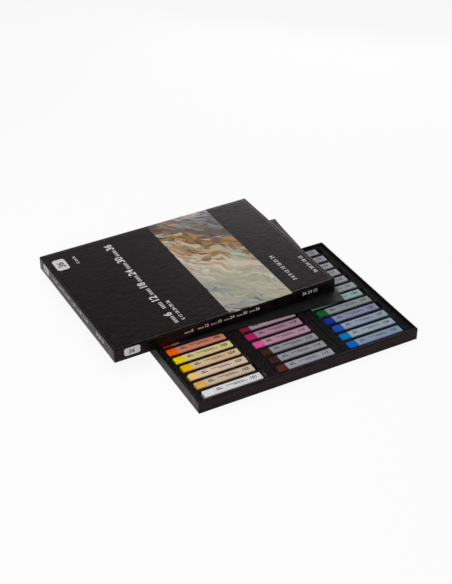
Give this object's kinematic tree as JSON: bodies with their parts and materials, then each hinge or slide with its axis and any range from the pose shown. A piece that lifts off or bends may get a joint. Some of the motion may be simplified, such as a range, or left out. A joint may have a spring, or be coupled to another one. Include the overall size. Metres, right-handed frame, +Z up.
{
  "type": "soft pastel set box",
  "caption": "Shallow black board tray with slotted foam holding square soft pastels in paper sleeves, a thin foam cover sheet and a lift-off board lid lying askew on it.",
  "frame": {"origin": "centre of the tray's underside, on the surface that the box stands on", "axes": "+X along the tray's front edge to the right, in line with the pastels, +Y to the back, +Z up"},
  "size_m": [0.3092, 0.2975, 0.0307],
  "materials": {
    "grey_board": "matte",
    "black_wrap": "satin",
    "black_foam": "matte",
    "sheet_foam": "matte",
    "covered_sleeve_paper": "matte",
    "pastel_white": "matte",
    "sleeve_white": "matte",
    "pastel_ochre": "matte",
    "sleeve_ochre": "matte",
    "pastel_peach": "matte",
    "sleeve_peach": "matte",
    "pastel_golden_yellow": "matte",
    "sleeve_golden_yellow": "matte",
    "pastel_lemon_yellow": "matte",
    "sleeve_lemon_yellow": "matte",
    "pastel_orange": "matte",
    "pastel_red_orange": "matte",
    "pastel_scarlet": "matte",
    "pastel_carmine": "matte",
    "pastel_rust": "matte",
    "pastel_terracotta": "matte",
    "pastel_rose": "matte",
    "pastel_red_brown": "matte",
    "sleeve_red_brown": "matte",
    "pastel_dark_brown": "matte",
    "sleeve_dark_brown": "matte",
    "pastel_umber": "matte",
    "sleeve_umber": "matte",
    "pastel_hot_pink": "matte",
    "sleeve_hot_pink": "matte",
    "pastel_magenta": "matte",
    "sleeve_magenta": "matte",
    "pastel_crimson": "matte",
    "pastel_purple": "matte",
    "pastel_violet": "matte",
    "pastel_mauve": "matte",
    "pastel_plum": "matte",
    "pastel_lilac": "matte",
    "pastel_indigo": "matte",
    "pastel_azure": "matte",
    "sleeve_azure": "matte",
    "pastel_cerulean": "matte",
    "sleeve_cerulean": "matte",
    "pastel_cobalt_blue": "matte",
    "sleeve_cobalt_blue": "matte",
    "pastel_ultramarine": "matte",
    "sleeve_ultramarine": "matte",
    "pastel_green": "matte",
    "sleeve_green": "matte",
    "pastel_mint": "matte",
    "pastel_sage": "matte",
    "pastel_grey_green": "matte",
    "pastel_light_grey": "matte",
    "pastel_middle_grey": "matte",
    "pastel_dark_grey": "matte",
    "pastel_black": "matte"
  },
  "bodies": {
    "tray": {"tray_board": "grey_board", "tray_wrap": "black_wrap", "foam_base_pad": "black_foam", "foam_block_left": "black_foam", "foam_block_right": "black_foam", "covered_sleeves": "covered_sleeve_paper", "pastel_orange": "pastel_orange", "pastel_red_orange": "pastel_red_orange", "pastel_scarlet": "pastel_scarlet", "pastel_carmine": "pastel_carmine", "pastel_rust": "pastel_rust", "pastel_terracotta": "pastel_terracotta", "pastel_rose": "pastel_rose", "pastel_crimson": "pastel_crimson", "pastel_purple": "pastel_purple", "pastel_violet": "pastel_violet", "pastel_mauve": "pastel_mauve", "pastel_plum": "pastel_plum", "pastel_lilac": "pastel_lilac", "pastel_indigo": "pastel_indigo", "pastel_mint": "pastel_mint", "pastel_sage": "pastel_sage", "pastel_grey_green": "pastel_grey_green", "pastel_light_grey": "pastel_light_grey", "pastel_middle_grey": "pastel_middle_grey", "pastel_dark_grey": "pastel_dark_grey", "pastel_black": "pastel_black"},
    "cover_sheet": {"cover_sheet": "sheet_foam"},
    "lid": {"lid_board": "grey_board", "lid_wrap": "black_wrap"},
    "white_pastel": {"pastel_white": "pastel_white", "sleeve_white": "sleeve_white"},
    "ochre_pastel": {"pastel_ochre": "pastel_ochre", "sleeve_ochre": "sleeve_ochre"},
    "peach_pastel": {"pastel_peach": "pastel_peach", "sleeve_peach": "sleeve_peach"},
    "golden_yellow_pastel": {"pastel_golden_yellow": "pastel_golden_yellow", "sleeve_golden_yellow": "sleeve_golden_yellow"},
    "lemon_yellow_pastel": {"pastel_lemon_yellow": "pastel_lemon_yellow", "sleeve_lemon_yellow": "sleeve_lemon_yellow"},
    "red_brown_pastel": {"pastel_red_brown": "pastel_red_brown", "sleeve_red_brown": "sleeve_red_brown"},
    "dark_brown_pastel": {"pastel_dark_brown": "pastel_dark_brown", "sleeve_dark_brown": "sleeve_dark_brown"},
    "umber_pastel": {"pastel_umber": "pastel_umber", "sleeve_umber": "sleeve_umber"},
    "hot_pink_pastel": {"pastel_hot_pink": "pastel_hot_pink", "sleeve_hot_pink": "sleeve_hot_pink"},
    "magenta_pastel": {"pastel_magenta": "pastel_magenta", "sleeve_magenta": "sleeve_magenta"},
    "azure_pastel": {"pastel_azure": "pastel_azure", "sleeve_azure": "sleeve_azure"},
    "cerulean_pastel": {"pastel_cerulean": "pastel_cerulean", "sleeve_cerulean": "sleeve_cerulean"},
    "cobalt_blue_pastel": {"pastel_cobalt_blue": "pastel_cobalt_blue", "sleeve_cobalt_blue": "sleeve_cobalt_blue"},
    "ultramarine_pastel": {"pastel_ultramarine": "pastel_ultramarine", "sleeve_ultramarine": "sleeve_ultramarine"},
    "green_pastel": {"pastel_green": "pastel_green", "sleeve_green": "sleeve_green"}
  },
  "joints": [
    {"name": "cover_sheet_lift", "type": "slide", "parent": "tray", "child": "cover_sheet", "axis": [0, 0, 1], "range_m": [0, 0.08]},
    {"name": "lid_lift", "type": "slide", "parent": "cover_sheet", "child": "lid", "axis": [0, 0, 1], "range_m": [0, 0.08]},
    {"name": "white_lift", "type": "slide", "parent": "tray", "child": "white_pastel", "axis": [0, 0, 1], "range_m": [0, 0.06]},
    {"name": "ochre_lift", "type": "slide", "parent": "tray", "child": "ochre_pastel", "axis": [0, 0, 1], "range_m": [0, 0.06]},
    {"name": "peach_lift", "type": "slide", "parent": "tray", "child": "peach_pastel", "axis": [0, 0, 1], "range_m": [0, 0.06]},
    {"name": "golden_yellow_lift", "type": "slide", "parent": "tray", "child": "golden_yellow_pastel", "axis": [0, 0, 1], "range_m": [0, 0.06]},
    {"name": "lemon_yellow_lift", "type": "slide", "parent": "tray", "child": "lemon_yellow_pastel", "axis": [0, 0, 1], "range_m": [0, 0.06]},
    {"name": "red_brown_lift", "type": "slide", "parent": "tray", "child": "red_brown_pastel", "axis": [0, 0, 1], "range_m": [0, 0.06]},
    {"name": "dark_brown_lift", "type": "slide", "parent": "tray", "child": "dark_brown_pastel", "axis": [0, 0, 1], "range_m": [0, 0.06]},
    {"name": "umber_lift", "type": "slide", "parent": "tray", "child": "umber_pastel", "axis": [0, 0, 1], "range_m": [0, 0.06]},
    {"name": "hot_pink_lift", "type": "slide", "parent": "tray", "child": "hot_pink_pastel", "axis": [0, 0, 1], "range_m": [0, 0.06]},
    {"name": "magenta_lift", "type": "slide", "parent": "tray", "child": "magenta_pastel", "axis": [0, 0, 1], "range_m": [0, 0.06]},
    {"name": "azure_lift", "type": "slide", "parent": "tray", "child": "azure_pastel", "axis": [0, 0, 1], "range_m": [0, 0.06]},
    {"name": "cerulean_lift", "type": "slide", "parent": "tray", "child": "cerulean_pastel", "axis": [0, 0, 1], "range_m": [0, 0.06]},
    {"name": "cobalt_blue_lift", "type": "slide", "parent": "tray", "child": "cobalt_blue_pastel", "axis": [0, 0, 1], "range_m": [0, 0.06]},
    {"name": "ultramarine_lift", "type": "slide", "parent": "tray", "child": "ultramarine_pastel", "axis": [0, 0, 1], "range_m": [0, 0.06]},
    {"name": "green_lift", "type": "slide", "parent": "tray", "child": "green_pastel", "axis": [0, 0, 1], "range_m": [0, 0.06]}
  ]
}
